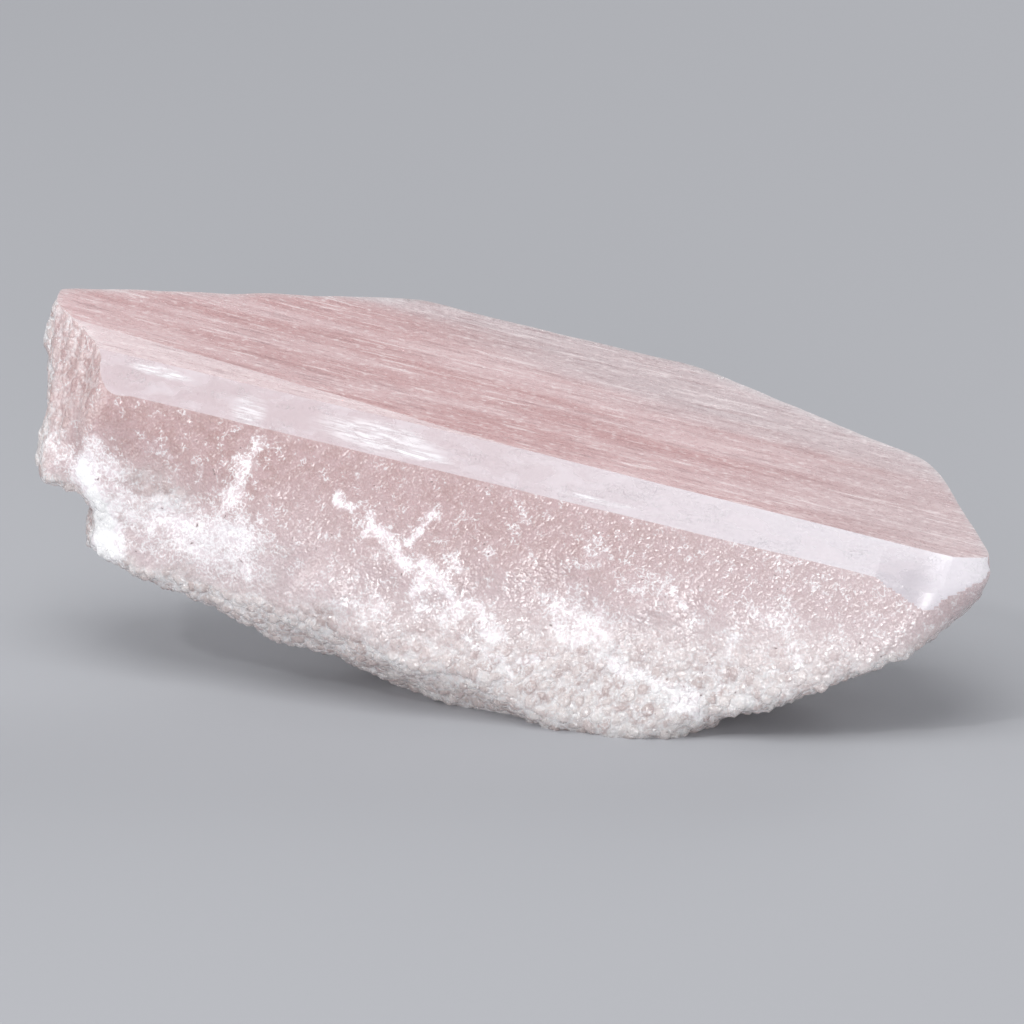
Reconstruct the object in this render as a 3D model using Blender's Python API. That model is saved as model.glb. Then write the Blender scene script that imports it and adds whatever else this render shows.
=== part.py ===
"""A rough morganite crystal, broken from its pocket and lying on its belly.

The crystal is one closed solid. Flat prism faces run the length of its upper
side; its belly, front, back and both ends are broken and lumpy.

Frame while modelling: metres, +Z up, X along the stone towards its thin end,
Y away from the side with the bevel. The ground is z = 0, and x = y = 0 lies
under the middle of the bevel's lower edge. The finished stone is moved
sideways so that the middle of its footprint is the origin.
"""

import math

import bmesh
import bpy
from mathutils import Matrix, Vector, noise

MM = 0.001

# Crystal faces: each one runs along the prism axis, which dips to the thin end.
AXIS_DIP = 9.8
TOP_DIP = 10.1
BEVEL_EDGE_HEIGHT = 23.8 * MM
BEVEL_WIDTH = 4.6 * MM
TOP_TILT = 17.0
BEVEL_TILT = 47.0
FRONT_BAND_TILT = 67.0
BACK_BEVEL_TILT = -13.0
BACK_FACE_TILT = -43.0
BACK_BEVEL_REACH = 20.5 * MM
BACK_FACE_REACH = 22.5 * MM

# The step: a slightly steeper strip of the top face, widening to the thick end.
STEP_WIDTH = 3.5 * MM
STEP_RUN = 49.0 * MM
STEP_EXTRA_TILT = 5.0
STEP_END_X = 4.0 * MM

# The tip: the bevel turns a little towards the thin end.
TIP_BEARING = -71.0
TIP_RISE = 40.0
TIP_START_X = 44.0 * MM

# The middle of the stone, from which each break is measured.
MIDDLE = Vector((-4.0, 8.0, 18.0)) * MM

# Breaks: bearing of the outward side in plan (0 is the thin end, 90 the back),
# its rise above level in degrees, and its distance from the middle.
BREAKS = {
    "front": (-87, 18, 10.2 * MM),
    "front_foot": (-88, -32, 23.0 * MM),
    "front_left": (-100, 2, 15.6 * MM),
    "left_foot": (-112, -48, 19.5 * MM),
    "right_foot": (-68, -38, 28.0 * MM),
    "front_right": (-63, 5, 29.0 * MM),
    "belly": (0, -90, 19.5 * MM),
    "belly_left": (180, -69, 20.0 * MM),
    "belly_right": (0, -66, 27.0 * MM),
    "tail_foot": (-8, -43, 40.8 * MM),
    "tail_end": (33, 0, 42.8 * MM),
    "tail_tip": (-5, -10, 53.8 * MM),
    "head": (-122, 18, 30.0 * MM),
    "head_end": (-175, 0, 49.2 * MM),
    "head_low": (-172, -40, 44.0 * MM),
    "back_left": (109, 16, 23.3 * MM),
    "back_right": (72, 14, 23.5 * MM),
    "back_foot": (90, -37, 15.0 * MM),
    "back_left_foot": (122, -48, 17.5 * MM),
    "back_right_foot": (56, -44, 26.5 * MM),
}

# The block that the breaks trim.
BLOCK_SIZE = 200.0 * MM

# The ledge at the thick end: a knuckle stands out above a recessed wall.
KNUCKLE_CENTRE = Vector((-50.0, 6.5, 21.5)) * MM
KNUCKLE_SIZE = Vector((4.2, 6.0, 4.2)) * MM
NOTCH_CENTRE = Vector((-54.5, 2.0, 10.2)) * MM
NOTCH_SIZE = Vector((16.0, 44.0, 18.0)) * MM
NOTCH_TURN = 15.0

# Relief of the broken skin.
SKIN_EDGE = 1.5 * MM
SWELL_SPACING = 15.0 * MM
SWELL_HEIGHT = 0.8 * MM
LUMP_SPACING = 5.5 * MM
LUMP_HEIGHT = 0.7 * MM
LUMP_SHIFT = Vector((7.3, 1.9, 4.1))
KNOB_SPACING = 3.2 * MM
KNOB_HEIGHT = 0.9 * MM
KNOB_LEVEL = 0.45
SMOOTH_BAND = 1.5 * MM
ROUGH_FROM = 10.0 * MM
CALM_DEPTH = 4.0 * MM
CALM_SHARE = 0.3
ROUNDING_PASSES = 3
SNAP = 0.001 * MM

CRYSTAL_COLOUR = (0.66, 0.49, 0.49, 1.0)
CRYSTAL_ROUGHNESS = 0.22


def clear_scene():
    """Take every object out of the scene."""
    for obj in list(bpy.data.objects):
        bpy.data.objects.remove(obj, do_unlink=True)


def bearing_vector(bearing, rise):
    """Return the unit vector at a bearing in plan and a rise above level."""
    b = math.radians(bearing)
    r = math.radians(rise)
    return Vector((math.cos(b) * math.cos(r), math.sin(b) * math.cos(r), math.sin(r)))


def face_normal(tilt, dip=AXIS_DIP):
    """Return the outward side of a prism face, tilted to the front by tilt degrees."""
    d = math.radians(dip)
    t = math.radians(tilt)
    up = Vector((math.sin(d), 0.0, math.cos(d)))
    return up * math.cos(t) + Vector((0.0, -1.0, 0.0)) * math.sin(t)


def cut(bm, point, normal):
    """Cut away what lies beyond a plane and close the cut with a flat face."""
    parts = bm.verts[:] + bm.edges[:] + bm.faces[:]
    bmesh.ops.bisect_plane(
        bm, geom=parts, dist=SNAP, plane_co=point, plane_no=normal, clear_outer=True
    )
    rim = [edge for edge in bm.edges if edge.is_boundary]
    if rim:
        bmesh.ops.triangle_fill(bm, edges=rim, use_beauty=True, normal=normal)


def new_object(name, bm):
    """Put a bmesh into a named object of the scene."""
    mesh = bpy.data.meshes.new(name)
    bm.to_mesh(mesh)
    bm.free()
    obj = bpy.data.objects.new(name, mesh)
    bpy.context.scene.collection.objects.link(obj)
    return obj


def broken_block():
    """Return the stone's blocky body: a block trimmed by every break, with its knuckle."""
    bm = bmesh.new()
    bmesh.ops.create_cube(bm, size=BLOCK_SIZE, matrix=Matrix.Translation(MIDDLE))
    for bearing, rise, reach in BREAKS.values():
        side = bearing_vector(bearing, rise)
        cut(bm, MIDDLE + side * reach, side)
    return bm


def knuckle():
    """Return the rounded lump that overhangs the recess at the thick end."""
    bm = bmesh.new()
    shape = Matrix.Translation(KNUCKLE_CENTRE) @ Matrix.Diagonal(KNUCKLE_SIZE).to_4x4()
    bmesh.ops.create_icosphere(bm, subdivisions=3, radius=1.0, matrix=shape)
    return bm


def notch_block():
    """Return the block that hollows the thick end below the knuckle."""
    bm = bmesh.new()
    turn = Matrix.Rotation(math.radians(NOTCH_TURN), 4, "Z")
    size = Matrix.Diagonal(NOTCH_SIZE).to_4x4()
    bmesh.ops.create_cube(bm, size=1.0, matrix=Matrix.Translation(NOTCH_CENTRE) @ turn @ size)
    return bm


def evaluated_copy(obj, name):
    """Return a new mesh with the object's modifiers worked in."""
    graph = bpy.context.evaluated_depsgraph_get()
    mesh = bpy.data.meshes.new_from_object(obj.evaluated_get(graph))
    mesh.name = name
    return mesh


def fused_body():
    """Return the block and knuckle fused, notched and given an even mesh."""
    body = new_object("block", broken_block())
    lump = new_object("knuckle", knuckle())
    notch = new_object("notch", notch_block())
    for operation, tool in (("UNION", lump), ("DIFFERENCE", notch)):
        step = body.modifiers.new(operation.lower(), "BOOLEAN")
        step.operation = operation
        step.solver = "EXACT"
        step.object = tool
    even = body.modifiers.new("even", "REMESH")
    even.mode = "VOXEL"
    even.voxel_size = SKIN_EDGE
    mesh = evaluated_copy(body, "fused")
    bm = bmesh.new()
    bm.from_mesh(mesh)
    bpy.data.meshes.remove(mesh)
    for obj in (body, lump, notch):
        bpy.data.objects.remove(obj, do_unlink=True)
    return bm


def smooth_step(low, high, value):
    """Return 0 below low, 1 above high, and an even rise between them."""
    t = min(max((value - low) / (high - low), 0.0), 1.0)
    return t * t * (3.0 - 2.0 * t)


def prism_axis():
    """Return the unit vector along the prism, towards the thin end."""
    dip = math.radians(AXIS_DIP)
    return Vector((math.cos(dip), 0.0, -math.sin(dip)))


def lower_edge():
    """Return the middle of the bevel's lower edge."""
    return Vector((0.0, 0.0, BEVEL_EDGE_HEIGHT))


def upper_edge():
    """Return the middle of the bevel's upper edge."""
    up_the_bevel = face_normal(BEVEL_TILT).cross(prism_axis())
    return lower_edge() + up_the_bevel * BEVEL_WIDTH


def edge_distance(point):
    """Return how far a point is from the bevel's lower edge."""
    offset = point - lower_edge()
    return (offset - prism_axis() * offset.dot(prism_axis())).length


def skin_height(point):
    """Return how far the broken skin stands out of the block at a point."""
    rough = smooth_step(SMOOTH_BAND, ROUGH_FROM, edge_distance(point))
    depth = (upper_edge() - point).dot(face_normal(TOP_TILT, TOP_DIP))
    rough *= CALM_SHARE + (1.0 - CALM_SHARE) * smooth_step(0.0, CALM_DEPTH, depth)
    swell = noise.noise(point / SWELL_SPACING) * SWELL_HEIGHT
    lump = noise.noise(point / LUMP_SPACING + LUMP_SHIFT) * LUMP_HEIGHT
    nearest = noise.voronoi(point / KNOB_SPACING)[0][0]
    knob = (KNOB_LEVEL - nearest) * KNOB_HEIGHT
    return (swell + lump + knob) * rough


def roughen(bm):
    """Round the block's ridges and raise the lumps and knobs of the broken skin."""
    for _ in range(ROUNDING_PASSES):
        bmesh.ops.smooth_vert(
            bm, verts=bm.verts[:], factor=0.5, use_axis_x=True, use_axis_y=True, use_axis_z=True
        )
    bm.normal_update()
    moves = [(vert, vert.normal * skin_height(vert.co)) for vert in bm.verts]
    for vert, move in moves:
        vert.co += move


def cut_crystal_faces(bm):
    """Cut the flat prism faces, the step, the turned tip and the resting flat."""
    cut(bm, upper_edge(), face_normal(TOP_TILT, TOP_DIP))
    cut(bm, lower_edge(), face_normal(BEVEL_TILT))
    cut(bm, lower_edge(), face_normal(FRONT_BAND_TILT))
    for tilt, reach in ((BACK_BEVEL_TILT, BACK_BEVEL_REACH), (BACK_FACE_TILT, BACK_FACE_REACH)):
        side = face_normal(tilt)
        cut(bm, MIDDLE + side * reach, side)
    cut(bm, upper_edge() + prism_axis() * STEP_END_X, step_normal())
    cut(bm, lower_edge() + prism_axis() * TIP_START_X, bearing_vector(TIP_BEARING, TIP_RISE))
    cut(bm, Vector((0.0, 0.0, 0.0)), Vector((0.0, 0.0, -1.0)))


def step_normal():
    """Return the side of the strip that is a little steeper than the top face.

    The strip meets the top face along a line that leaves the bevel near the
    middle and is a step's width from it at the thick end.
    """
    top = face_normal(TOP_TILT, TOP_DIP)
    to_back = top.cross(prism_axis())
    line = (prism_axis() * STEP_RUN - to_back * STEP_WIDTH).normalized()
    return Matrix.Rotation(math.radians(STEP_EXTRA_TILT), 3, line) @ top


def centre_on_origin(bm):
    """Move the stone sideways so that the middle of its footprint is the origin."""
    xs = [vert.co.x for vert in bm.verts]
    ys = [vert.co.y for vert in bm.verts]
    shift = Vector((-(min(xs) + max(xs)) / 2, -(min(ys) + max(ys)) / 2, 0.0))
    bmesh.ops.translate(bm, vec=shift, verts=bm.verts[:])


def crystal_material():
    """Return the pale pink, glassy finish of the stone."""
    material = bpy.data.materials.new("morganite")
    material.use_nodes = True
    shader = material.node_tree.nodes["Principled BSDF"]
    shader.inputs["Base Color"].default_value = CRYSTAL_COLOUR
    shader.inputs["Roughness"].default_value = CRYSTAL_ROUGHNESS
    shader.inputs["Metallic"].default_value = 0.0
    return material


def build_crystal():
    """Model the crystal and put it in the scene."""
    bm = fused_body()
    roughen(bm)
    cut_crystal_faces(bm)
    centre_on_origin(bm)
    bmesh.ops.recalc_face_normals(bm, faces=bm.faces[:])
    crystal = new_object("morganite_crystal", bm)
    crystal.data.materials.append(crystal_material())


clear_scene()
build_crystal()
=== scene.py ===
"""Morganite crystal: the finished look of a rough, broken beryl prism.

The fixed frame gives the crystal's solid. This script grows the fine skin over
it: granules and pits on the broken sides, crisp flat prism faces with growth
striations, and a milky pink stone with white healed fractures inside.
"""

from __future__ import annotations

import logging
import math
from dataclasses import dataclass, field
from enum import Enum

import bmesh
import bpy
import numpy as np
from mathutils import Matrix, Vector, noise
from mathutils.geometry import delaunay_2d_cdt
from mathutils.kdtree import KDTree

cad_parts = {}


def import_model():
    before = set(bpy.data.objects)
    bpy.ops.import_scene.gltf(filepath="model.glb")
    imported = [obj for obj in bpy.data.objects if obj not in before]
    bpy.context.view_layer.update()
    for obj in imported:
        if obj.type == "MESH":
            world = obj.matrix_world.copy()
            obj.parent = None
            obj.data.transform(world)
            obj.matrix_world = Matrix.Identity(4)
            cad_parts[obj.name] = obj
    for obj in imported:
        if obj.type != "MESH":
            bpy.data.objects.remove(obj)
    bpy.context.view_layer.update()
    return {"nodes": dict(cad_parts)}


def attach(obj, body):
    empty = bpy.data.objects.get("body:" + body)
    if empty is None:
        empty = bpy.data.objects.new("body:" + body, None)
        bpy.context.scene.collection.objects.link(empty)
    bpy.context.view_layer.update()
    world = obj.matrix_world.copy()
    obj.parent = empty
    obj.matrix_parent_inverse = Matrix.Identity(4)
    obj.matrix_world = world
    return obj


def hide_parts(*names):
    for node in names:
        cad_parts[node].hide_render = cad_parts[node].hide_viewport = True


LOG = logging.getLogger("morganite")
MM = 0.001
NODE = "morganite_crystal"
# Degrees that the prism and its top face fall towards the thin end
AXIS_DIP = 9.8
TOP_DIP = 10.1
BERYL_IOR = 1.58
# Fixes the bends of the veils and granules, which would else differ from run to run
NOISE_SEED = 10
# What each vertex of the skin carries for the materials to read
SKIN_FIELDS = ("rim", "head", "veil", "tone", "pale", "seam", "grain")
AXIS = Vector((math.cos(math.radians(AXIS_DIP)), 0.0, -math.sin(math.radians(AXIS_DIP))))


def linear(hex_colour: str) -> tuple[float, float, float, float]:
    """Turn an sRGB hex colour into linear values.

    Args:
        hex_colour: Six hex digits, such as "d0b3b4".

    Returns:
        Red, green and blue in linear light, and an alpha of 1.
    """
    parts = [int(hex_colour[i : i + 2], 16) / 255.0 for i in (0, 2, 4)]
    toe, slope, offset, gamma = 0.04045, 12.92, 0.055, 2.4
    red, green, blue = (
        c / slope if c <= toe else ((c + offset) / (1.0 + offset)) ** gamma for c in parts
    )
    return red, green, blue, 1.0


def smooth_step(low: float, high: float, value: float) -> float:
    """Ease from 0 to 1.

    Args:
        low: Where the rise starts.
        high: Where the rise ends.
        value: The place to read.

    Returns:
        A number from 0 to 1.
    """
    t = min(max((value - low) / (high - low), 0.0), 1.0)
    return t * t * (3.0 - 2.0 * t)


def prism_normal(tilt: float, dip: float) -> Vector:
    """Return the outward side of a prism face.

    Args:
        tilt: Degrees that the face leans to the front, about the prism axis.
        dip: Degrees that the prism axis falls towards the thin end.

    Returns:
        The unit vector.
    """
    d, t = math.radians(dip), math.radians(tilt)
    up = Vector((math.sin(d), 0.0, math.cos(d)))
    return up * math.cos(t) + Vector((0.0, -1.0, 0.0)) * math.sin(t)


def bearing_vector(bearing: float, rise: float) -> Vector:
    """Return a unit vector.

    Args:
        bearing: Degrees in plan, 0 towards the thin end and 90 to the back.
        rise: Degrees above level.

    Returns:
        The unit vector.
    """
    b, r = math.radians(bearing), math.radians(rise)
    return Vector((math.cos(b) * math.cos(r), math.sin(b) * math.cos(r), math.sin(r)))


class Zone(Enum):
    """The kinds of surface on the crystal, each with its own finish."""

    SKIN = 0
    STRIATED = 1
    STEP = 2
    BEVEL = 3
    REST = 4


@dataclass(frozen=True)
class PrismFace:
    """A flat face of the crystal: its name, outward side, kind of surface and edges."""

    name: str
    normal: Vector
    zone: Zone
    crisp: bool = True


@dataclass(frozen=True)
class Veil:
    """A white healed fracture: the points it runs through, in mm, and its half width."""

    points: tuple[tuple[float, float, float], ...]
    width: float
    strength: float = 1.0

    def at(self, place: np.ndarray) -> np.ndarray:
        """Read the veil.

        Args:
            place: Points in mm, one to a row.

        Returns:
            How strongly it shows at each, from 0 to its strength.
        """
        best = np.full(len(place), np.inf)
        path = [np.array(p) for p in self.points]
        for start, end in zip(path[:-1] or path, path[1:] or path):
            run = end - start
            long = max(float(run @ run), 1e-9)
            share = np.clip((place - start) @ run / long, 0.0, 1.0)
            away = np.linalg.norm(place - start - share[:, None] * run, axis=1)
            best = np.minimum(best, away)
        return self.strength * np.clip(1.0 - best / self.width, 0.0, 1.0)


FACES = (
    PrismFace("top", prism_normal(17.0, TOP_DIP), Zone.STRIATED),
    PrismFace("step", Vector((0.1566, -0.3744, 0.9139)), Zone.STEP),
    PrismFace("bevel", prism_normal(47.0, AXIS_DIP), Zone.BEVEL),
    PrismFace("rest", Vector((0.0, 0.0, -1.0)), Zone.REST),
    PrismFace("back_bevel", prism_normal(-13.0, AXIS_DIP), Zone.STRIATED, crisp=False),
    PrismFace("back_face", prism_normal(-43.0, AXIS_DIP), Zone.STRIATED, crisp=False),
    PrismFace("tip", bearing_vector(-71.0, 40.0), Zone.BEVEL, crisp=False),
)

VEILS = (
    # Thick end, from the bevel down
    Veil(((-25.7, -9.5, 30.9), (-25.1, -10.9, 29.2), (-24.6, -12.2, 27.0)), 1.6),
    Veil(((-24.6, -12.2, 27.0), (-26.6, -13.4, 24.3), (-27.2, -13.9, 21.5)), 2.4),
    Veil(
        ((-36.2, -12.9, 26.1), (-32.8, -13.3, 24.9), (-30.6, -13.7, 23.4), (-28.6, -13.7, 22.8)),
        1.0, 0.7,
    ),
    Veil(((-35.5, -12.8, 18.6), (-30.6, -14.2, 17.0), (-26.3, -14.6, 17.1)), 5.0, 1.05),
    Veil(((-29.6, -14.2, 14.0), (-26.0, -14.6, 14.6)), 2.4),
    Veil(((-42.0, -11.7, 25.6), (-40.6, -12.2, 22.8)), 2.6, 0.9),
    Veil(((-40.6, -12.2, 21.0), (-38.0, -12.5, 17.6)), 3.2, 0.8),
    Veil(((-47.6, -9.2, 25.3), (-48.6, -9.2, 23.5), (-45.4, -10.7, 22.6)), 2.2, 0.6),
    # Where this veil's strength passes 1.2, the material paints a lit trough solid white: a painted
    # highlight.
    Veil(((-43.4, -11.7, 22.5), (-42.6, -12.0, 19.0), (-41.9, -11.9, 14.6)), 3.4, 2.2),
    # Middle of the front, the long branching one
    Veil(((-16.2, -13.6, 22.2), (-12.2, -14.3, 19.4), (-10.0, -14.8, 18.2)), 1.2, 1.25),
    Veil(
        ((-10.0, -14.8, 18.2), (-7.8, -14.5, 18.6), (-6.1, -13.9, 19.5), (-5.5, -13.2, 21.2)),
        0.9, 1.1,
    ),
    Veil(
        ((-9.6, -15.3, 17.2), (-6.7, -15.5, 15.9), (-4.6, -15.9, 14.4), (-3.2, -16.0, 12.9)),
        2.0, 1.2,
    ),
    Veil(((-3.2, -16.0, 12.9), (-0.2, -16.3, 11.1), (2.4, -16.4, 9.4)), 1.5),
    Veil(
        (
            (-7.4, -16.1, 14.7), (-5.0, -16.5, 11.5), (-2.5, -17.1, 9.5),
            (0.5, -17.2, 7.9), (3.3, -17.8, 5.5),
        ),
        1.1,
    ),
    # Lower right of the middle, down to the belly
    Veil(
        ((6.1, -14.8, 13.4), (8.2, -16.0, 10.0), (11.2, -16.3, 8.9), (14.0, -16.5, 7.8)),
        1.5, 1.1,
    ),
    Veil(
        (
            (14.0, -16.5, 7.8), (16.6, -16.4, 6.8), (18.1, -17.1, 5.4),
            (21.3, -17.4, 4.1), (24.0, -17.2, 2.8),
        ),
        1.6, 1.2,
    ),
    Veil(((8.4, -15.0, 12.2), (12.6, -15.7, 10.2)), 3.4, 0.85),
    # Small ones between the long ones
    Veil(((-0.3, -14.1, 18.2), (-0.2, -14.3, 17.0)), 0.9),
    Veil(((-3.6, -15.0, 17.3), (-2.8, -15.0, 15.6)), 1.0, 0.9),
    Veil(((3.3, -12.7, 20.8),), 1.3, 0.7),
    Veil(((-14.6, -17.1, 11.3), (-11.4, -17.1, 11.6)), 1.8, 0.7),
    Veil(((8.4, -16.6, 8.8), (6.9, -17.0, 7.3), (5.9, -17.1, 6.2), (4.6, -17.0, 7.3)), 0.9),
    # Thin end
    Veil(
        ((26.1, -14.8, 10.9), (25.6, -15.1, 9.0), (24.5, -15.4, 7.2), (23.8, -16.4, 5.2)),
        1.1, 0.9,
    ),
    Veil(((33.2, -14.9, 10.4), (32.2, -15.5, 8.5), (31.0, -15.9, 6.7)), 0.7, 1.1),
    Veil(((20.3, -14.0, 14.9), (20.9, -14.4, 12.7), (20.7, -15.1, 10.0)), 0.7, 0.8),
    Veil(((11.3, -13.3, 18.0),), 2.4, 0.6),
    Veil(((29.6, -14.2, 12.7), (31.6, -14.2, 12.3)), 3.0, 0.6),
    Veil(((15.6, -14.1, 15.4), (18.2, -14.1, 14.8)), 3.2, 0.45),
)


def inside(points: np.ndarray, rim: np.ndarray, pairs: list[tuple[int, int]]) -> np.ndarray:
    """Tell which points lie inside a rim of closed loops.

    Args:
        points: Points in the plane, one to a row.
        rim: The rim's points.
        pairs: The rim's edges.

    Returns:
        True or False for each point.
    """
    start, end = rim[[a for a, _ in pairs]], rim[[b for _, b in pairs]]
    drop = end[:, 1] - start[:, 1]
    slope = (end[:, 0] - start[:, 0]) / np.where(drop == 0.0, 1.0, drop)
    result = np.zeros(len(points), dtype=bool)
    for i, (x, y) in enumerate(points):
        cross = (start[:, 1] > y) != (end[:, 1] > y)
        right = start[:, 0] + (y - start[:, 1]) * slope > x
        result[i] = np.count_nonzero(cross & right) % 2 == 1
    return result


@dataclass(frozen=True)
class Bumps:
    """A layer of relief, in mm: its grain, its height and how much higher it is on the belly."""

    size: float
    height: float
    belly: float = 0.0

    def reach(self, rim: float) -> float:
        """Return the height where the skin is this granular, from 0 to 1."""
        return self.height + self.belly * rim


def layered(place: Vector, layers: tuple[Bumps, ...], rim: float = 0.0) -> float:
    """Add up soft layers of relief.

    Args:
        place: The place in mm.
        layers: The layers.
        rim: How granular the skin is there, from 0 to 1.

    Returns:
        The height in mm, about zero on average.
    """
    return sum(noise.noise(place / layer.size) * layer.reach(rim) for layer in layers)


@dataclass
class Crystal:
    """The crystal's visible mesh, grown over the solid of the frame.

    Lengths are in metres, turns in degrees and the layers of relief in mm. Real granules are
    about 1 mm across, and real growth lines finer than 0.1 mm. Both are drawn coarser here, so
    that the mesh and the render can show them.
    """

    source: bpy.types.Object
    snap: float = 0.0005 * MM
    rim_snap: float = 0.003 * MM
    flat_turn: float = 1.0
    flat_depth: float = 0.02 * MM
    proud: float = 0.9 * MM
    longest_push: float = 3.0
    push_cutoff: float = 0.15
    skin_edge: float = 0.335 * MM
    smoothing_passes: int = 10
    soft_depth: float = 0.75 * MM
    soft_facing: float = 0.8
    crease: float = 14.0
    granules: Bumps = Bumps(1.25, 0.03, 0.65)
    grit: Bumps = Bumps(0.65, 0.02, 0.08)
    lumps: tuple[Bumps, ...] = (Bumps(3.0, 0.10, 0.3), Bumps(7.0, 0.12, 0.2))
    pits: tuple[Bumps, ...] = (Bumps(0.7, 0.35), Bumps(1.5, 0.45))
    ripples: tuple[Bumps, ...] = (Bumps(0.9, 0.10), Bumps(2.2, 0.14))
    veil_bends: tuple[Bumps, ...] = (Bumps(2.6, 1.5), Bumps(0.9, 0.7))
    line_gap: float = 0.32 * MM
    cross_gap: float = 1.0 * MM
    rim_gap: float = 0.22 * MM
    line_size: tuple[float, float] = (14.0, 0.7)
    line_depth: float = 0.02
    wave_size: tuple[float, float] = (2.6, 0.9)
    wave_depth: float = 0.12
    edge_point: Vector = field(default_factory=lambda: Vector((2.07, -11.57, 23.8)) * MM)
    corner: Vector = field(default_factory=lambda: Vector((-42.6, -11.4, 0.0)) * MM)
    corner_side: Vector = field(default_factory=lambda: Vector((-0.75, -0.66, 0.0)))
    corner_push: float = 0.8 * MM
    reaches: dict[str, float] = field(default_factory=dict)
    normals: dict[str, Vector] = field(default_factory=dict)

    def build(self) -> bpy.types.Object:
        """Model the crystal and dress it.

        Returns:
            The finished object, in place.
        """
        noise.seed_set(NOISE_SEED)
        bm = self.even_mesh(self.proud_solid())
        self.grow_skin(bm)
        self.cut_faces(bm)
        self.set_zones(bm)
        mesh = bpy.data.meshes.new("crystal_skin")
        bm.normal_update()
        bm.to_mesh(mesh)
        bm.free()
        piece = bpy.data.objects.new("crystal", mesh)
        bpy.context.scene.collection.objects.link(piece)
        self.dress(piece)
        return piece

    def dress(self, piece: bpy.types.Object) -> None:
        """Give the crystal its finishes, one to each zone."""
        for zone in Zone:
            piece.data.materials.append(FINISHES[zone].material())

    def measure_flats(self, bm: bmesh.types.BMesh) -> dict[int, str]:
        """Find each flat's exact outward side and reach on the solid.

        Args:
            bm: The solid.

        Returns:
            Index of a face of the mesh to the flat that it lies on.
        """
        lies_on = {}
        facing = math.cos(math.radians(self.flat_turn))
        for flat in FACES:
            near = [face for face in bm.faces if face.normal.dot(flat.normal) > facing]
            total = sum((face.normal * face.calc_area() for face in near), Vector())
            normal = total.normalized() if near else flat.normal
            reach = max(vert.co.dot(normal) for vert in bm.verts)
            self.normals[flat.name] = normal
            self.reaches[flat.name] = reach
            for face in bm.faces if flat.crisp else ():
                if all(vert.co.dot(normal) > reach - self.flat_depth for vert in face.verts):
                    lies_on[face.index] = flat.name
        return lies_on

    def proud_solid(self) -> bmesh.types.BMesh:
        """Raise the flats of the solid, each broken side carried on past its rim.

        Returns:
            The form as a new bmesh.
        """
        bm = bmesh.new()
        bm.from_mesh(self.source.data)
        bmesh.ops.remove_doubles(bm, verts=bm.verts[:], dist=self.snap)
        bm.normal_update()
        bm.faces.index_update()
        lies_on = self.measure_flats(bm)
        moves = []
        for vert in bm.verts:
            flats = {lies_on[face.index] for face in vert.link_faces if face.index in lies_on}
            if flats:
                moves.append((vert, self.push(vert, flats, lies_on)))
        for vert, move in moves:
            vert.co += move
        return bm

    def push(self, vert: bmesh.types.BMVert, flats: set[str], lies_on: dict[int, str]) -> Vector:
        """Work out how a vertex of a flat moves out, without leaving its broken sides.

        Args:
            vert: The vertex.
            flats: Names of the flats that it lies on.
            lies_on: Index of a face to the flat that it lies on.

        Returns:
            The move.
        """
        rows = [list(self.normals[name]) for name in sorted(flats)]
        aims = [self.proud] * len(rows)
        broken = [face for face in vert.link_faces if face.index not in lies_on]
        if broken and len(rows) < 3:
            side = sum((face.normal * face.calc_area() for face in broken), Vector()).normalized()
            rows.append(list(side))
            aims.append(0.0)
        move = Vector(np.linalg.pinv(np.array(rows), rcond=self.push_cutoff) @ np.array(aims))
        limit = self.proud * self.longest_push
        return move * (limit / move.length) if move.length > limit else move

    def even_mesh(self, bm: bmesh.types.BMesh) -> bmesh.types.BMesh:
        """Return the same form with small, even faces.

        Args:
            bm: The form; it is freed.

        Returns:
            A new bmesh.
        """
        mesh = bpy.data.meshes.new("proud")
        bm.to_mesh(mesh)
        bm.free()
        holder = bpy.data.objects.new("proud", mesh)
        bpy.context.scene.collection.objects.link(holder)
        remesh = holder.modifiers.new("even", "REMESH")
        remesh.mode = "VOXEL"
        remesh.voxel_size = self.skin_edge
        graph = bpy.context.evaluated_depsgraph_get()
        even = bpy.data.meshes.new_from_object(holder.evaluated_get(graph))
        result = bmesh.new()
        result.from_mesh(even)
        bpy.data.objects.remove(holder, do_unlink=True)
        bpy.data.meshes.remove(even)
        bpy.data.meshes.remove(mesh)
        return result

    def edge_distance(self, point: Vector) -> float:
        """Return the distance of a point from the bevel's lower edge, in mm."""
        away = point - self.edge_point
        return (away - AXIS * away.dot(AXIS)).length / MM

    def smooth_share(self, point: Vector, normal: Vector) -> float:
        """Tell how far a point belongs to the faces with soft edges.

        Args:
            point: The place.
            normal: The outward side there.

        Returns:
            A share from 0 to 1.
        """
        best = 0.0
        for flat in FACES:
            if not flat.crisp:
                under = (self.reaches[flat.name] - point.dot(self.normals[flat.name])) / MM
                turned = smooth_step(0.9, 0.97, normal.dot(self.normals[flat.name]))
                best = max(best, smooth_step(0.9, 0.3, under) * turned)
        return best

    def corner_move(self, point: Vector) -> Vector:
        """Work out the move that squares up the upright corner of the broken end.

        Args:
            point: The place.

        Returns:
            The move, none away from the corner.
        """
        away = Vector((point.x, point.y, 0.0)) - self.corner
        near = smooth_step(4.0, 0.5, away.length / MM) * smooth_step(17.0, 24.0, point.z / MM)
        return self.corner_side * (self.corner_push * near)

    def grain_and_glow_share(self, point: Vector, normal: Vector) -> float:
        """Tell how granular the skin is, and how far painted glow lightens its colour there.

        Args:
            point: The place.
            normal: The outward side there.

        Returns:
            A share, 0 on the smooth front and 1 on the belly.
        """
        under = smooth_step(0.12, -0.42, normal.z)
        low = smooth_step(14.0, 4.0, point.z / MM)
        return max(under, 0.8 * low) * smooth_step(2.0, 8.0, self.edge_distance(point))

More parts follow.
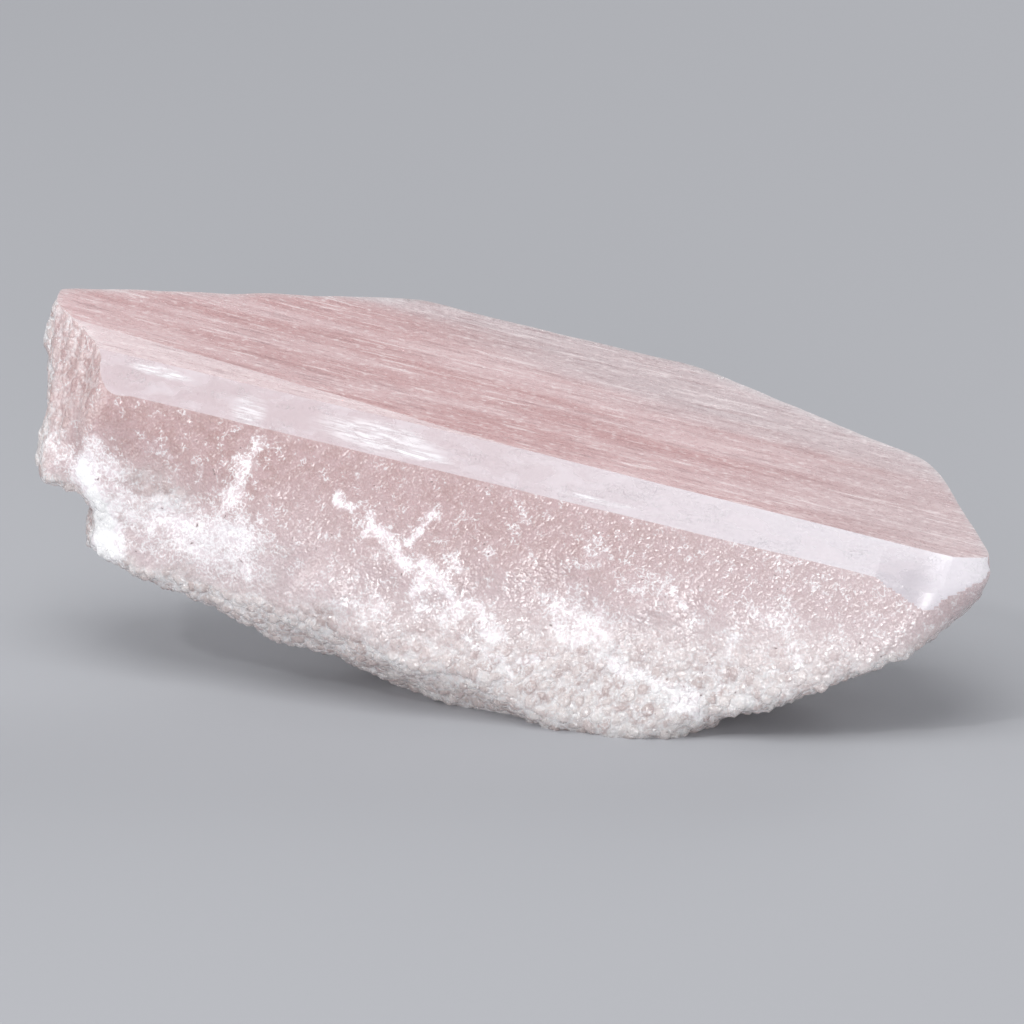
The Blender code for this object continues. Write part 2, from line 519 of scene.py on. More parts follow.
    def head_share(self, point: Vector, normal: Vector) -> float:
        """Return how far a point belongs to the pitted broken end, from 0 to 1."""
        left = smooth_step(-0.35, -0.75, normal.x)
        return left * smooth_step(-38.0, -43.0, point.x / MM)

    def granule(self, point: Vector) -> tuple[float, float, float]:
        """Find the granule at a point.

        Args:
            point: The place.

        Returns:
            The distance from its middle and from its edge, as shares of its size, and a tone
            from 0 to 1 that is its own.
        """
        p = point / MM
        bent = p + noise.noise_vector(p / 1.3) * 0.35
        away, spots = noise.voronoi(bent / self.granules.size)
        tone = math.sin(spots[0].dot(Vector((12.99, 78.23, 37.72)))) * 437.58 % 1.0
        return away[0], away[1] - away[0], tone

    def skin_height(self, point: Vector, near: float, rim: float, head: float) -> float:
        """Return how far the broken skin stands out at a point.

        Args:
            point: The place.
            near: The distance from its granule's middle, as a share of the size.
            rim: How granular it is.
            head: How far it belongs to the pitted end.

        Returns:
            The height in metres, about zero on average.
        """
        p = point / MM
        fine = noise.voronoi(p / self.grit.size + Vector((4.0, 9.0, 2.0)))[0][0]
        granule = (0.42 - near) * self.granules.reach(rim) + (0.4 - fine) * self.grit.reach(rim)
        calm = 0.08 + 0.92 * smooth_step(1.0, 8.0, self.edge_distance(point))
        tall = Vector((p.x, p.y, p.z * 0.4))
        draw_in = 0.45 * smooth_step(24.0, 28.0, p.z)
        pitted = (layered(tall, self.pits) - draw_in) * head
        return ((granule + layered(p, self.lumps, rim)) * calm + pitted) * MM

    def ripple_height(self, point: Vector) -> float:
        """Tell how far the etched back of the prism stands out, in ripples along it.

        Args:
            point: The place.

        Returns:
            The height in metres.
        """
        p = point / MM
        run = p.dot(AXIS)
        across = p - AXIS * run
        return layered(AXIS * (run * 0.3) + across, self.ripples) * MM

    def veil_strengths(self, bm: bmesh.types.BMesh) -> np.ndarray:
        """Read the veils at each vertex, with the places bent so that no veil has a straight side.

        Args:
            bm: The even mesh.

        Returns:
            How strongly the veils show at each vertex.
        """
        places = np.array([vert.co[:] for vert in bm.verts]) / MM
        for layer in self.veil_bends:
            bends = [noise.noise_vector(Vector(place) / layer.size)[:] for place in places]
            places = places + np.array(bends) * layer.height
        return np.max([veil.at(places) for veil in VEILS], axis=0)

    def grow_skin(self, bm: bmesh.types.BMesh) -> None:
        """Smooth the even mesh, note its fields and raise the granules of the broken skin.

        Args:
            bm: The even mesh.
        """
        for _ in range(self.smoothing_passes):
            bmesh.ops.smooth_vert(
                bm, verts=bm.verts[:], factor=0.5, use_axis_x=True, use_axis_y=True, use_axis_z=True
            )
        bm.normal_update()
        layers = {name: bm.verts.layers.float.new(name) for name in SKIN_FIELDS}
        moves = []
        for vert, veil in zip(bm.verts, self.veil_strengths(bm)):
            p, side = vert.co / MM, vert.normal
            # This share drives the granules' relief, and also a painted glow that lightens the
            # belly's colour.
            rim = self.grain_and_glow_share(vert.co, side)
            head = self.head_share(vert.co, side)
            near, seam, grain = self.granule(vert.co)
            behind = smooth_step(0.0, 0.5, side.y) * smooth_step(0.05, 0.4, noise.noise(p / 7.0))
            lower = smooth_step(2.0, 17.0, self.edge_distance(vert.co))
            fields = {
                "rim": rim,
                "head": head,
                "veil": max(float(veil), 0.9 * behind),
                "tone": 0.5 + noise.noise(p / 9.0) * 0.5 + noise.noise(p / 2.4) * 0.4,
                "pale": lower * 0.6 + smooth_step(-10.0, 55.0, p.x) * 0.55,
                "seam": seam,
                "grain": grain,
            }
            for name, layer in layers.items():
                vert[layer] = fields[name]
            soft = self.smooth_share(vert.co, side)
            height = self.skin_height(vert.co, near, rim, head) * (1.0 - soft)
            if soft > 0.0 and side.y > -0.2:
                height += self.ripple_height(vert.co) * soft
            moves.append(side * height + self.corner_move(vert.co))
        for vert, move in zip(bm.verts, moves):
            vert.co += move

    def cut_faces(self, bm: bmesh.types.BMesh) -> None:
        """Cut the crisp flat faces and close each with a cap of its zone.

        Args:
            bm: The grown skin.
        """
        for flat in FACES:
            if flat.crisp:
                normal = self.normals[flat.name]
                parts = bm.verts[:] + bm.edges[:] + bm.faces[:]
                spot = normal * self.reaches[flat.name]
                bmesh.ops.bisect_plane(
                    bm, geom=parts, dist=self.snap, plane_co=spot, plane_no=normal, clear_outer=True
                )
                edge_verts = [vert for vert in bm.verts if vert.is_boundary]
                bmesh.ops.remove_doubles(bm, verts=edge_verts, dist=self.rim_snap)
                self.cap(bm, flat)

    def cap(self, bm: bmesh.types.BMesh, flat: PrismFace) -> None:
        """Close a cut with the flat face, divided along and across the prism where it is striated.

        Args:
            bm: The cut mesh.
            flat: The face.
        """
        normal = self.normals[flat.name]
        level = self.reaches[flat.name]
        along = (AXIS - normal * AXIS.dot(normal)).normalized()
        across = normal.cross(along)
        rim = [edge for edge in bm.edges if edge.is_boundary]
        verts = list(dict.fromkeys(vert for edge in rim for vert in edge.verts))
        number = {vert: i for i, vert in enumerate(verts)}
        flat_rim = np.array([(vert.co.dot(along), vert.co.dot(across)) for vert in verts])
        pairs = [(number[edge.verts[0]], number[edge.verts[1]]) for edge in rim]
        spots = self.grid_spots(flat_rim, pairs) if flat.zone in (Zone.STRIATED, Zone.STEP) else []
        points = [Vector(p) for p in flat_rim] + [Vector(p) for p in spots]
        found, _, faces, origin, _, _ = delaunay_2d_cdt(points, pairs, [], 1, 1e-9, True)
        corners = []
        for spot, sources in zip(found, origin):
            if sources and sources[0] < len(verts):
                corners.append(verts[sources[0]])
            else:
                place = along * spot.x + across * spot.y + normal * level
                corners.append(bm.verts.new(place + normal * self.relief(place, across)))
        middles = np.array([sum((found[k] for k in face), Vector((0, 0))) / 3.0 for face in faces])
        for face, keep in zip(faces, inside(middles, flat_rim, pairs)):
            if keep:
                cap = bm.faces.new([corners[k] for k in face])
                cap.material_index = flat.zone.value
        LOG.info("cut %s: %d rim edges, %d triangles", flat.name, len(rim), len(faces))

    def grid_spots(self, rim: np.ndarray, pairs: list[tuple[int, int]]) -> np.ndarray:
        """Lay points in rows along the prism over a cut face, clear of its rim.

        Args:
            rim: The rim's points in the plane.
            pairs: The rim's edges.

        Returns:
            The points, one to a row.
        """
        low, high = rim.min(axis=0), rim.max(axis=0)
        rows = np.arange(low[1], high[1], self.line_gap)
        marks = np.arange(low[0], high[0], self.cross_gap)
        steps = np.arange(len(rows)) * 0.37 % 1.0
        spots = np.array([(m + s * self.cross_gap, r) for r, s in zip(rows, steps) for m in marks])
        tree = KDTree(len(rim))
        for i, (x, y) in enumerate(rim):
            tree.insert((x, y, 0.0), i)
        tree.balance()
        clear = np.array([tree.find((x, y, 0.0))[2] > self.rim_gap for x, y in spots])
        return spots[clear & inside(spots, rim, pairs)]

    def relief(self, place: Vector, across: Vector) -> float:
        """Return how far the striated face lies from its plane, never above it.

        Args:
            place: The place on the plane.
            across: The direction across the prism in the plane.

        Returns:
            The height in metres.
        """
        p = place / MM
        run, side = p.dot(AXIS), p.dot(across)
        long, wide = self.line_size
        lines = noise.noise(Vector((run / long, side / wide, 2.0)))
        back = smooth_step(4.0, 10.0, p.y + 0.14 * p.x)
        long, wide = self.wave_size
        waves = noise.noise(Vector((run / long, side / wide, 7.0)))
        deep = (lines - 0.7) * self.line_depth + (waves - 0.7) * self.wave_depth * back
        return deep * MM

    def set_zones(self, bm: bmesh.types.BMesh) -> None:
        """Give the softly edged faces their zones and mark the crisp edges.

        Args:
            bm: The closed skin.
        """
        bm.normal_update()
        for face in bm.faces:
            face.smooth = True
            if face.material_index == Zone.SKIN.value:
                centre = face.calc_center_median()
                for flat in FACES:
                    under = self.reaches[flat.name] - centre.dot(self.normals[flat.name])
                    turned = face.normal.dot(self.normals[flat.name])
                    near = under < self.soft_depth and turned > self.soft_facing
                    if near and not flat.crisp:
                        face.material_index = flat.zone.value
        crease = math.radians(self.crease)
        for edge in bm.edges:
            kinds = {face.material_index for face in edge.link_faces}
            edge.smooth = len(kinds) == 1 or edge.calc_face_angle(0.0) < crease


# Settings that many nodes share
TIMES = {"operation": "MULTIPLY"}
PLUS = {"operation": "ADD"}
TIMES_PLUS = {"operation": "MULTIPLY_ADD"}
MOST = {"operation": "MAXIMUM"}
EASED = {"interpolation_type": "SMOOTHSTEP"}
Link = bpy.types.Node | bpy.types.NodeSocket
Fill = Link | float | str | tuple | None


def add_node(
    tree: bpy.types.NodeTree, kind: str, *values: Fill, **settings: Fill
) -> bpy.types.Node:
    """Add a shader node with its settings and links.

    Args:
        tree: The material's node tree.
        kind: The node's type, without its ShaderNode prefix.
        values: Its inputs in order: a number, a hex colour, a node or a socket, or None to
            leave one alone.
        settings: Its other inputs by name, underscores for spaces, and its attributes.

    Returns:
        The new node.
    """
    node = tree.nodes.new("ShaderNode" + kind)
    fills = [(node.inputs[i], value) for i, value in enumerate(values) if value is not None]
    for name, value in settings.items():
        socket = node.inputs.get(name.replace("_", " "))
        if socket is None:
            setattr(node, name, value)
        else:
            fills.append((socket, value))
    for socket, value in fills:
        if isinstance(value, bpy.types.Node):
            tree.links.new(value.outputs[0], socket)
        elif isinstance(value, bpy.types.NodeSocket):
            tree.links.new(value, socket)
        else:
            socket.default_value = linear(value) if isinstance(value, str) else value
    return node


@dataclass
class Stone:
    """One material of the stone, made of patterns in real millimetres."""

    name: str
    scatter: float = 0.5
    scatter_depth: float = 6.0 * MM
    tree: bpy.types.NodeTree = field(init=False)
    material: bpy.types.Material = field(init=False)
    place: bpy.types.Node = field(init=False)
    along: bpy.types.Node = field(init=False)

    def __post_init__(self) -> None:
        """Start the material, with places in mm, plain and turned along the prism axis."""
        self.material = bpy.data.materials.new(self.name)
        self.material.use_nodes = True
        self.tree = self.material.node_tree
        texture = add_node(self.tree, "TexCoord")
        self.place = self.node("Mapping", texture.outputs["Object"], Scale=(1.0 / MM,) * 3)
        self.along = self.node("Mapping", self.place, Rotation=(0.0, -math.radians(AXIS_DIP), 0.0))

    def node(self, kind: str, *values: Fill, **settings: Fill) -> bpy.types.Node:
        """Add a node to this material, as add_node does."""
        return add_node(self.tree, kind, *values, **settings)

    def mottle(
        self, source: Link, size: tuple[float, float, float], octaves: float, shift: float
    ) -> bpy.types.Node:
        """Return a soft uneven pattern.

        Args:
            source: Places in mm.
            size: Size of one patch in mm, to each axis.
            octaves: How many finer layers it has.
            shift: Moves the pattern, so that two layers differ.

        Returns:
            The node, about 0.5 on average, with three more patterns in its colour.
        """
        scale = tuple(1.0 / side for side in size)
        spot = self.node("Mapping", source, Location=(shift, shift * 1.7, shift * 0.6), Scale=scale)
        return self.node("TexNoise", spot, Scale=1.0, Detail=octaves, Roughness=0.6)

    def threads(self, value: Link, width: Link | float) -> Link:
        """Return thin curved threads where a pattern crosses its middle.

        Args:
            value: The pattern.
            width: How wide they are, as a share of the pattern; a number or a node.

        Returns:
            The node, 1 on a thread and 0 off it.
        """
        away = self.node("Math", self.node("Math", value, -0.5, **PLUS), operation="ABSOLUTE")
        return self.node("MapRange", away, width, self.node("Math", width, 0.25, **TIMES), **EASED)

    def finish(self, height: Link, **values: Fill) -> bpy.types.Material:
        """Set up the stone's shader, a milky mass that light enters and scatters in.

        Args:
            height: How far the surface stands out, in mm.
            values: Shader inputs, underscores for spaces, in place of the stone's usual ones.

        Returns:
            The material.
        """
        bump = self.node("Bump", Height=height, Distance=MM, Strength=1.0)
        self.tree.nodes.remove(self.tree.nodes["Principled BSDF"])
        usual = {
            "Normal": bump,
            "IOR": BERYL_IOR,
            "Subsurface_Weight": self.scatter,
            "Subsurface_Radius": (1.0, 1.0, 1.0),
            "Subsurface_Scale": self.scatter_depth,
        }
        shader = self.node("BsdfPrincipled", **(usual | values))
        self.tree.links.new(shader.outputs[0], self.tree.nodes["Material Output"].inputs["Surface"])
        return self.material


@dataclass(frozen=True)
class BrokenBeryl:
    """Broken skin of beryl, as it tore from the rock.

    The eye sees milky pink with white healed fractures and flecks in it, glassy granules on the
    belly and at the thick end, and a few dark specks. Real flecks and fibres are about 0.1 mm
    wide. They are drawn two to three times as wide, so that the render shows them.
    """

    name: str = "granular_broken_beryl"
    roughness: tuple[float, float] = (0.06, 0.3)
    scatter: float = 0.6
    scatter_depth: float = 5.0 * MM
    mass_size: float = 1.25
    fleck_size: float = 0.5
    deep_pink: str = "bd9f9d"
    pink: str = "c9adae"
    lilac: str = "d0b9bb"
    milk: str = "e0d7da"
    # Near white on the belly and down-facing skin: partly the granules' own colour, partly painted
    # glow standing in for light through the thin belly, set against its shade.
    belly: str = "f0e5e3"
    end_low: str = "e0d0cf"
    end_high: str = "cfacab"
    back_tip: str = "d3a3a3"
    grain_dark: str = "b79f9b"
    # Pale end of the granules' random tone; the palest, near white, also stand in for glints as a
    # painted highlight.
    grain_pale_and_glint: str = "fffaf8"
    haze: str = "e9e3e8"
    # Painted highlight: the lit trough at the thick end, painted solid white.
    painted_glare_white: str = "fcfbfc"
    fleck: str = "faf8fa"
    speck: str = "75625f"

    def body(self, s: Stone, mass: Link, tone: Link, pale: Link, rim: Link, head: Link) -> Link:
        """Mix the stone's colour, with painted glow on the belly, before its grains and veils.

        Args:
            s: The material.
            mass: Soft pattern.
            tone: Broad change of tone.
            pale: How pale the milky lower front is.
            rim: How granular it is; here it lightens the belly, partly as painted glow.
            head: How far it belongs to the pitted thick end.

        Returns:
            The colour node.
        """
        axes = s.node("SeparateXYZ", s.place).outputs
        cloud = s.node("MapRange", mass, 0.38, 0.62, **EASED)
        body = s.node("MixRGB", cloud, self.deep_pink, self.pink)
        body = s.node("MixRGB", s.node("Math", tone, 0.6, **TIMES), body, self.lilac)
        body = s.node("MixRGB", pale, body, self.milk)
        # Painted glow: the belly and down-facing skin are mixed towards near white, partly the
        # granules' colour, partly standing in for light through the thin belly.
        body = s.node("MixRGB", s.node("Math", rim, 0.85, **TIMES), body, self.belly)
        upper = s.node("MapRange", axes["Z"], 21.0, 30.0, **EASED)
        body = s.node("MixRGB", head, body, s.node("MixRGB", upper, self.end_low, self.end_high))
        edge = s.node("MapRange", axes["Y"], -9.0, -5.0, 0.0, 0.7, **EASED)
        end = s.node("Math", s.node("MapRange", axes["X"], 43.0, 49.0, **EASED), edge, **TIMES)
        return s.node("MixRGB", end, body, self.back_tip)

    def white(
        self, s: Stone, coarse: tuple[Link, ...], fine: Link, veil: Link, pale: Link, outlines: Link
    ) -> Link:
        """Gather the white flecks, fibres and grain outlines, crowded where a veil runs.

        Args:
            s: The material.
            coarse: Three soft patterns: the mass, the tears and the gaps between flecks.
            fine: Fine pattern.
            veil: How strongly the veils show.
            pale: How pale the milky lower front is.
            outlines: The outlines of the granules.

        Returns:
            The node, 1 where it is white.
        """
        mass, tear, gate = coarse
        crowd = s.node("Math", veil, 0.3, s.node("Math", pale, 0.09, **TIMES), **TIMES_PLUS)
        near = s.node("MapRange", s.node("Math", gate, crowd, **PLUS), 0.56, 0.64, **EASED)
        flecks = s.node("Math", s.threads(fine, 0.06), near, **TIMES)
        near = s.node("MapRange", s.node("Math", tear, crowd, **PLUS), 0.6, 0.7, **EASED)
        width = s.node("Math", veil, 0.03, 0.018, **TIMES_PLUS)
        fibres = s.node("Math", s.threads(mass, width), near, **TIMES)
        return s.node("Math", fibres, s.node("Math", flecks, outlines, **MOST), **MOST)

    def material(self) -> bpy.types.Material:
        """Make the material.

        Returns:
            The material.
        """
        s = Stone(self.name, self.scatter, self.scatter_depth)
        rim, head, veil, tone, pale, seam, grain = (
            s.node("Attribute", attribute_name=name).outputs["Fac"] for name in SKIN_FIELDS
        )
        coarse = s.mottle(s.place, (self.mass_size,) * 3, 3.0, 3.0)
        fine = s.mottle(s.place, (self.fleck_size,) * 3, 1.0, 5.0)
        mass, tear, gate = s.node("SeparateColor", coarse.outputs["Color"]).outputs
        granular = s.node("Math", rim, head, **MOST)
        body = self.body(s, mass, tone, pale, rim, head)
        # Random tone per granule; its near-white end also stands in for glints, a painted
        # highlight.
        grain_tone_and_glint = s.node("MixRGB", grain, self.grain_dark, self.grain_pale_and_glint)
        body = s.node("MixRGB", s.node("Math", granular, 0.6, **TIMES), body, grain_tone_and_glint)
        torn = s.node("Math", tear, 0.9, s.node("Math", veil, -0.45, **PLUS), **TIMES_PLUS)
        haze = s.node("MapRange", torn, 0.1, 1.25, 0.0, 0.8, **EASED)
        body = s.node("MixRGB", haze, body, self.haze)
        # Painted highlight: where the strongest veil passes 1.2, a lit trough at the thick end is
        # painted solid white.
        painted_glare = s.node("MapRange", veil, 1.2, 1.5, **EASED)
        body = s.node("MixRGB", painted_glare, body, self.painted_glare_white)
        broken = s.node("MapRange", fine, 0.32, 0.5, **EASED)
        outlines = s.node("Math", s.node("MapRange", seam, 0.24, 0.06, **EASED), broken, **TIMES)
        outlines = s.node("Math", outlines, granular, **TIMES)
        white = self.white(s, (mass, tear, gate), fine, veil, pale, outlines)
        colour = s.node("MixRGB", s.node("Math", white, 0.85, **TIMES), body, self.fleck)
        few = s.node("MapRange", mass, 0.56, 0.6, 0.0, 0.8, **EASED)
        specks = s.node("Math", s.node("MapRange", fine, 0.7, 0.74, **EASED), few, **TIMES)
        colour = s.node("MixRGB", specks, colour, self.speck)
        crease = s.node("Math", s.node("MapRange", seam, 0.0, 0.35, **EASED), granular, **TIMES)
        height = s.node("Math", fine, 0.16, s.node("Math", crease, 0.22, **TIMES), **TIMES_PLUS)
        clear = s.node("MapRange", haze, 0.0, 0.6, 0.26, 0.08, **EASED)
        values = {
            "Base_Color": colour,
            "Roughness": s.node("MapRange", fine, 0.35, 0.65, *self.roughness, **EASED),
            "Transmission_Weight": s.node("Math", rim, 0.08, clear, **TIMES_PLUS),
        }
        return s.finish(height, **values)


@dataclass(frozen=True)
class StriatedFace:
    """Natural prism face of beryl, grown and then lightly etched.

    The eye sees pink with fine growth lines along the crystal, a little dull, greyer to the back.
    Real growth lines are 0.05 to 0.1 mm apart. They are drawn 0.3 to 0.7 mm apart, so that the
    render shows them. Sizes are in mm, along the crystal and across it.
    """

    name: str = "striated_prism_face"
    lift: float = 0.0
    roughness: tuple[float, float] = (0.25, 0.45)
    clearness: float = 0.2
    broad_size: tuple[float, float, float] = (30.0, 3.3, 3.3)
    band_size: tuple[float, float, float] = (12.0, 0.7, 0.7)
    dash_size: tuple[float, float, float] = (6.0, 0.32, 0.32)
    grit_size: tuple[float, float, float] = (0.8, 0.3, 0.3)
    deep_pink: str = "c6a1a1"
    pink: str = "d6bbbc"
    grey: str = "c9bcbe"
    lifted: str = "e2d3d5"
    light_band: str = "ead9d9"
    dark_band: str = "b08d8d"
    grit: str = "f1e4e4"
    light_dash: str = "f3e7e7"
    dark_dash: str = "9a7d7f"

    def material(self) -> bpy.types.Material:
        """Make the material.

        Returns:
            The material.
        """
        s = Stone(self.name)
        broad = s.mottle(s.along, self.broad_size, 1.0, 0.0)
        bands = s.mottle(s.along, self.band_size, 2.0, 3.0)
        dashes = s.mottle(s.along, self.dash_size, 2.0, 8.0)
        grit = s.mottle(s.along, self.grit_size, 1.0, 4.0)
        axes = s.node("SeparateXYZ", s.place).outputs
        across = s.node("Math", axes["X"], 0.14, axes["Y"], **TIMES_PLUS)
        back = s.node("Math", broad, 5.0, across, **TIMES_PLUS)
        back = s.node("MapRange", back, 6.0, 12.0, 0.0, 0.85, **EASED)
        right = s.node("MapRange", axes["X"], 18.0, 46.0, 0.0, 0.6, **EASED)
        cloud = s.node("MapRange", broad, 0.35, 0.65, **EASED)
        body = s.node("MixRGB", cloud, self.deep_pink, self.pink)
        body = s.node("MixRGB", s.node("Math", back, right, **MOST), body, self.grey)
        body = s.node("MixRGB", self.lift, body, self.lifted)
        layers = (
            (bands, (0.5, 0.76), 0.32, self.light_band),
            (bands, (0.5, 0.26), 0.3, self.dark_band),
            (grit, (0.58, 0.74), 0.55, self.grit),
            (dashes, (0.56, 0.72), 0.65, self.light_dash),
        )
        for pattern, (start, end), share, colour in layers:
            shown = s.node("MapRange", pattern, start, end, 0.0, share, **EASED)
            body = s.node("MixRGB", shown, body, colour)
        dark = s.node("Math", right, -0.4, 0.48, **TIMES_PLUS)
        dark = s.node("Math", s.node("MapRange", dashes, 0.45, 0.27, **EASED), dark, **TIMES)
        body = s.node("MixRGB", dark, body, self.dark_dash)
        height = s.node("Math", dashes, 0.05, s.node("Math", bands, 0.05, **TIMES), **TIMES_PLUS)
        values = {
            "Base_Color": body,
            "Roughness": s.node("MapRange", grit, 0.35, 0.65, *self.roughness, **EASED),
            "Transmission_Weight": self.clearness,
        }
        return s.finish(height, **values)


@dataclass(frozen=True)
class Chip:
    """A chipped or veined patch on the bevel: centre and half sizes in mm."""

    centre: tuple[float, float, float]
    size: tuple[float, float, float]
    strength: float = 1.0
    cracks: float = 0.0


BEVEL_CHIPS = (
    Chip((-36.2, -9.2, 32.9), (4.2, 0.8, 0.8)),
    Chip((-12.5, -10.1, 27.8), (8.5, 2.2, 2.2), 0.7, 0.35),
    Chip((-8.2, -10.6, 26.4), (5.0, 0.8, 0.8)),
    Chip((11.0, -10.9, 22.9), (5.0, 0.45, 0.45), 0.9),
    Chip((30.4, -11.8, 18.1), (3.0, 0.35, 0.35), 0.7),
    Chip((-26.4, -10.6, 29.8), (2.4, 2.4, 2.4), 0.7),
)


@dataclass(frozen=True)
class SmoothBevel:
    """Smooth narrow prism face of beryl, as it grew.

    The eye sees glassy pale lilac, brighter to the tip, with a few white chips and hair cracks.
    Real hair cracks are thinner than 0.05 mm and are drawn wider, so that the render shows them.
    """

    name: str = "smooth_bevel_face"
    chips: tuple[Chip, ...] = BEVEL_CHIPS
    roughness: tuple[float, float] = (0.18, 0.32)
    clearness: float = 0.2
    mottle_size: tuple[float, float, float] = (3.3, 1.7, 1.7)
    fine_size: float = 0.53
    streak_size: tuple[float, float, float] = (2.5, 0.2, 0.2)
    thick_end: str = "bca9ae"
    thin_end: str = "cdc7cd"
    cloud: str = "dad1d6"
    tip: str = "e8e3e9"
    chip: str = "f3f1f4"
    crack: str = "7f767a"

    def material(self) -> bpy.types.Material:
        """Make the material.

        Returns:
            The material.
        """
        s = Stone(self.name)
        axes = s.node("SeparateXYZ", s.place).outputs
        mottle = s.mottle(s.along, self.mottle_size, 2.0, 2.0)
        parts = s.node("SeparateColor", mottle.outputs["Color"]).outputs
        fine = s.mottle(s.place, (self.fine_size,) * 3, 2.0, 5.0)
        streaks = s.mottle(s.along, self.streak_size, 3.0, 6.0)
        length = s.node("MapRange", axes["X"], -20.0, 45.0, **EASED)
        body = s.node("MixRGB", length, self.thick_end, self.thin_end)
        cloud = s.node("MapRange", mottle, 0.4, 0.7, 0.0, 0.5, **EASED)
        body = s.node("MixRGB", cloud, body, self.cloud)
        body = s.node("MixRGB", s.node("MapRange", axes["X"], 44.0, 47.5, **EASED), body, self.tip)
        strokes = s.node("MapRange", streaks, 0.4, 0.58, 0.25, 1.0, **EASED)
        gaps = s.node("MapRange", streaks, 0.36, 0.33, **EASED)
        some = s.node("MapRange", parts[1], 0.52, 0.62, 0.0, 0.7, **EASED)
        white = s.node("Math", s.threads(fine, 0.014), some, **TIMES)
        dark = 0.0
        for chip in self.chips:
            turn = (0.0, math.radians(AXIS_DIP), 0.0)
            settings = {"Location": chip.centre, "Rotation": turn, "Scale": chip.size}
            space = s.node("Mapping", s.place, vector_type="TEXTURE", **settings)
            ball = s.node("TexGradient", space, gradient_type="SPHERICAL").outputs["Fac"]
            shown = s.node("MapRange", ball, 0.0, 0.6, 0.0, chip.strength, **EASED)
            white = s.node("Math", white, s.node("Math", shown, strokes, **TIMES), **MOST)
            if chip.cracks:
                cracked = s.node("MapRange", ball, 0.25, 0.5, 0.0, chip.cracks, **EASED)
                dark = s.node("Math", dark, s.node("Math", cracked, gaps, **TIMES), **MOST)
        colour = s.node("MixRGB", dark, s.node("MixRGB", white, body, self.chip), self.crack)
        height = s.node("Math", fine, 0.03, s.node("Math", white, 0.04, **TIMES), **TIMES_PLUS)
        values = {
            "Base_Color": colour,
            "Roughness": s.node("MapRange", mottle, 0.35, 0.65, *self.roughness, **EASED),
            "Transmission_Weight": self.clearness,
        }
        return s.finish(height, **values)


@dataclass(frozen=True)
class RubbedFlat:
    """Small broken flat on the belly that the crystal rests on: matt and granular to the eye."""

    name: str = "rubbed_rest_flat"
    roughness: tuple[float, float] = (0.4, 0.6)
    mottle_size: float = 1.25
    dull: str = "cdbcbb"
    pale: str = "e3dad9"

    def material(self) -> bpy.types.Material:
        """Make the material.

        Returns:
            The material.
        """
        s = Stone(self.name)
        mottle = s.mottle(s.place, (self.mottle_size,) * 3, 3.0, 0.0)
        values = {
            "Base_Color": s.node("MixRGB", mottle, self.dull, self.pale),
            "Roughness": s.node("MapRange", mottle, 0.3, 0.7, *self.roughness, **EASED),
        }
        return s.finish(s.node("Math", mottle, 0.1, **TIMES), **values)


FINISHES = {
    Zone.SKIN: BrokenBeryl(),
    Zone.STRIATED: StriatedFace(),
    Zone.STEP: StriatedFace("stepped_strip", 0.75),
    Zone.BEVEL: SmoothBevel(),
    Zone.REST: RubbedFlat(),
}


@dataclass(frozen=True)
class SoftLight:
    """A soft square light: its place and side in metres, and its power in watts."""

    name: str
    place: tuple[float, float, float]
    size: float
    power: float

    def hang(self) -> None:
        """Hang the light so that it faces the crystal."""
        data = bpy.data.lights.new(self.name, "AREA")
        data.shape = "SQUARE"
        data.size = self.size
        data.energy = self.power
        lamp = bpy.data.objects.new(self.name, data)
        bpy.context.scene.collection.objects.link(lamp)
        lamp.location = self.place
        lamp.rotation_euler = (-Vector(self.place)).to_track_quat("-Z", "Y").to_euler()


STUDIO_LIGHTS = (
    SoftLight("overhead", (-0.05, -0.25, 0.85), 0.6, 4.0),
    SoftLight("front_low", (0.25, -0.95, 0.12), 0.4, 6.0),
    SoftLight("key", (-0.35, -0.45, 0.6), 0.06, 0.9),
    SoftLight("left_fill", (-0.8, -0.45, 0.25), 0.5, 2.5),
    SoftLight("back", (0.3, 0.85, 0.4), 0.5, 3.5),
)


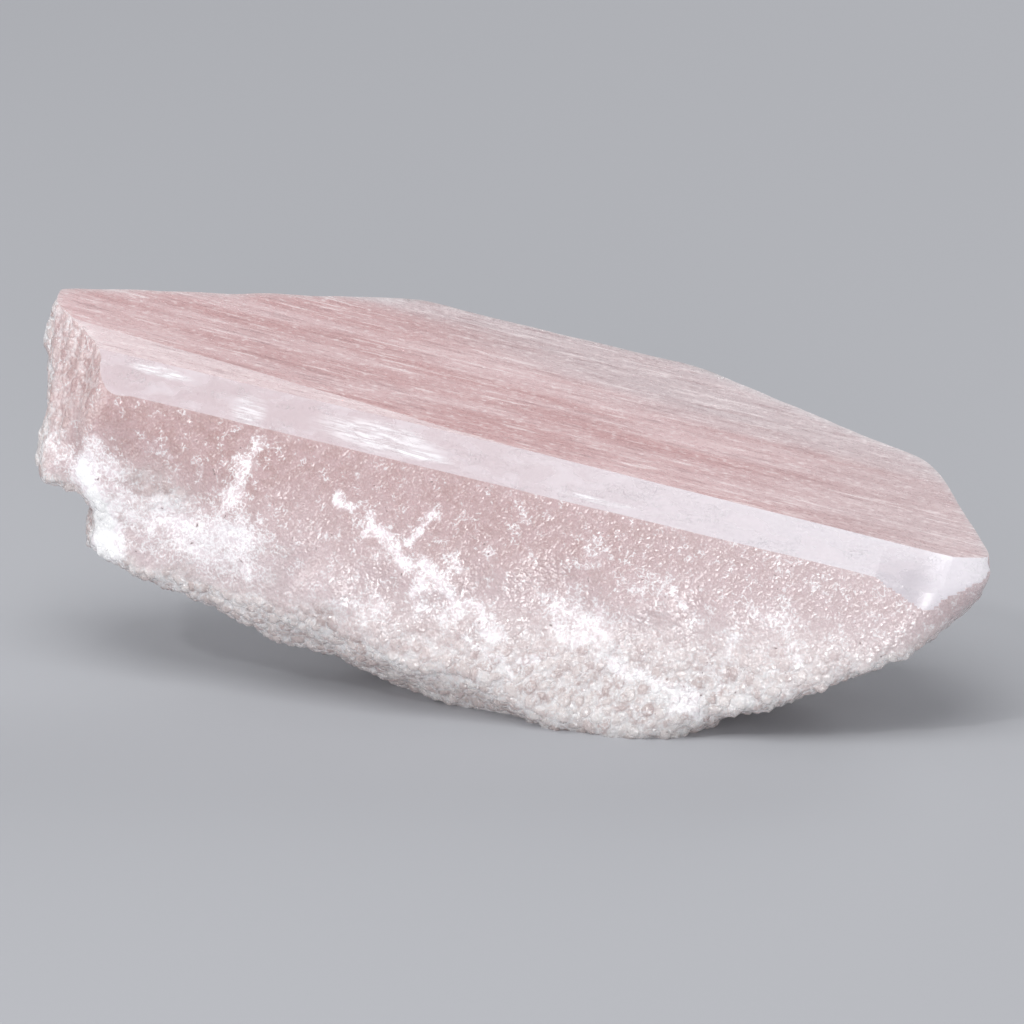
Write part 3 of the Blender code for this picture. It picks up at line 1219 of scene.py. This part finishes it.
@dataclass
class Studio:
    """The pale floor, the soft light and the camera: metres, degrees, and mm for the lens."""

    azimuth: float = 13.5
    elevation: float = 18.0
    distance: float = 594.5 * MM
    focal_length: float = 200.0
    sensor: float = 36.0
    target: Vector = field(default_factory=lambda: Vector((0.614, -5.495, 19.21)) * MM)
    floor_size: float = 6.0
    card: str = "a9aaae"
    sky: str = "e6e8ec"
    sky_strength: float = 0.5
    lights: tuple[SoftLight, ...] = STUDIO_LIGHTS

    def build(self) -> None:
        """Make the floor, the lights, the sky and the camera."""
        self.floor()
        for light in self.lights:
            light.hang()
        world = bpy.data.worlds.new("studio")
        world.use_nodes = True
        background = world.node_tree.nodes["Background"].inputs
        background["Color"].default_value = linear(self.sky)
        background["Strength"].default_value = self.sky_strength
        bpy.context.scene.world = world
        bpy.context.scene.view_settings.view_transform = "Standard"
        self.camera()

    def floor(self) -> None:
        """Lay the pale floor under the crystal."""
        bm = bmesh.new()
        bmesh.ops.create_grid(bm, x_segments=1, y_segments=1, size=self.floor_size / 2)
        mesh = bpy.data.meshes.new("floor")
        bm.to_mesh(mesh)
        bm.free()
        floor = bpy.data.objects.new("floor", mesh)
        bpy.context.scene.collection.objects.link(floor)
        material = bpy.data.materials.new("matt_grey_card")
        material.use_nodes = True
        tree = material.node_tree
        card = add_node(tree, "BsdfDiffuse", self.card)
        tree.links.new(card.outputs[0], tree.nodes["Material Output"].inputs["Surface"])
        mesh.materials.append(material)

    def camera(self) -> None:
        """Set the camera at the photograph's viewing angle."""
        a, e = math.radians(self.azimuth), math.radians(self.elevation)
        back = Vector((math.sin(a) * math.cos(e), -math.cos(a) * math.cos(e), math.sin(e)))
        data = bpy.data.cameras.new("camera")
        data.lens = self.focal_length
        data.sensor_width = self.sensor
        camera = bpy.data.objects.new("camera", data)
        bpy.context.scene.collection.objects.link(camera)
        camera.location = self.target + back * self.distance
        camera.rotation_euler = back.to_track_quat("Z", "Y").to_euler()
        bpy.context.scene.camera = camera


def main() -> None:
    """Build the crystal and the studio round it."""
    logging.basicConfig(level=logging.INFO, format="%(name)s: %(message)s")
    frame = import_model()
    piece = Crystal(frame["nodes"][NODE]).build()
    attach(piece, "root")
    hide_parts(NODE)
    triangles = sum(len(face.vertices) - 2 for face in piece.data.polygons)
    LOG.info("%s: %d triangles, %d finishes", piece.name, triangles, len(piece.data.materials))
    studio = Studio()
    studio.build()
    LOG.info("studio: floor, %d lights and camera", len(studio.lights))


if __name__ == "__main__":
    main()
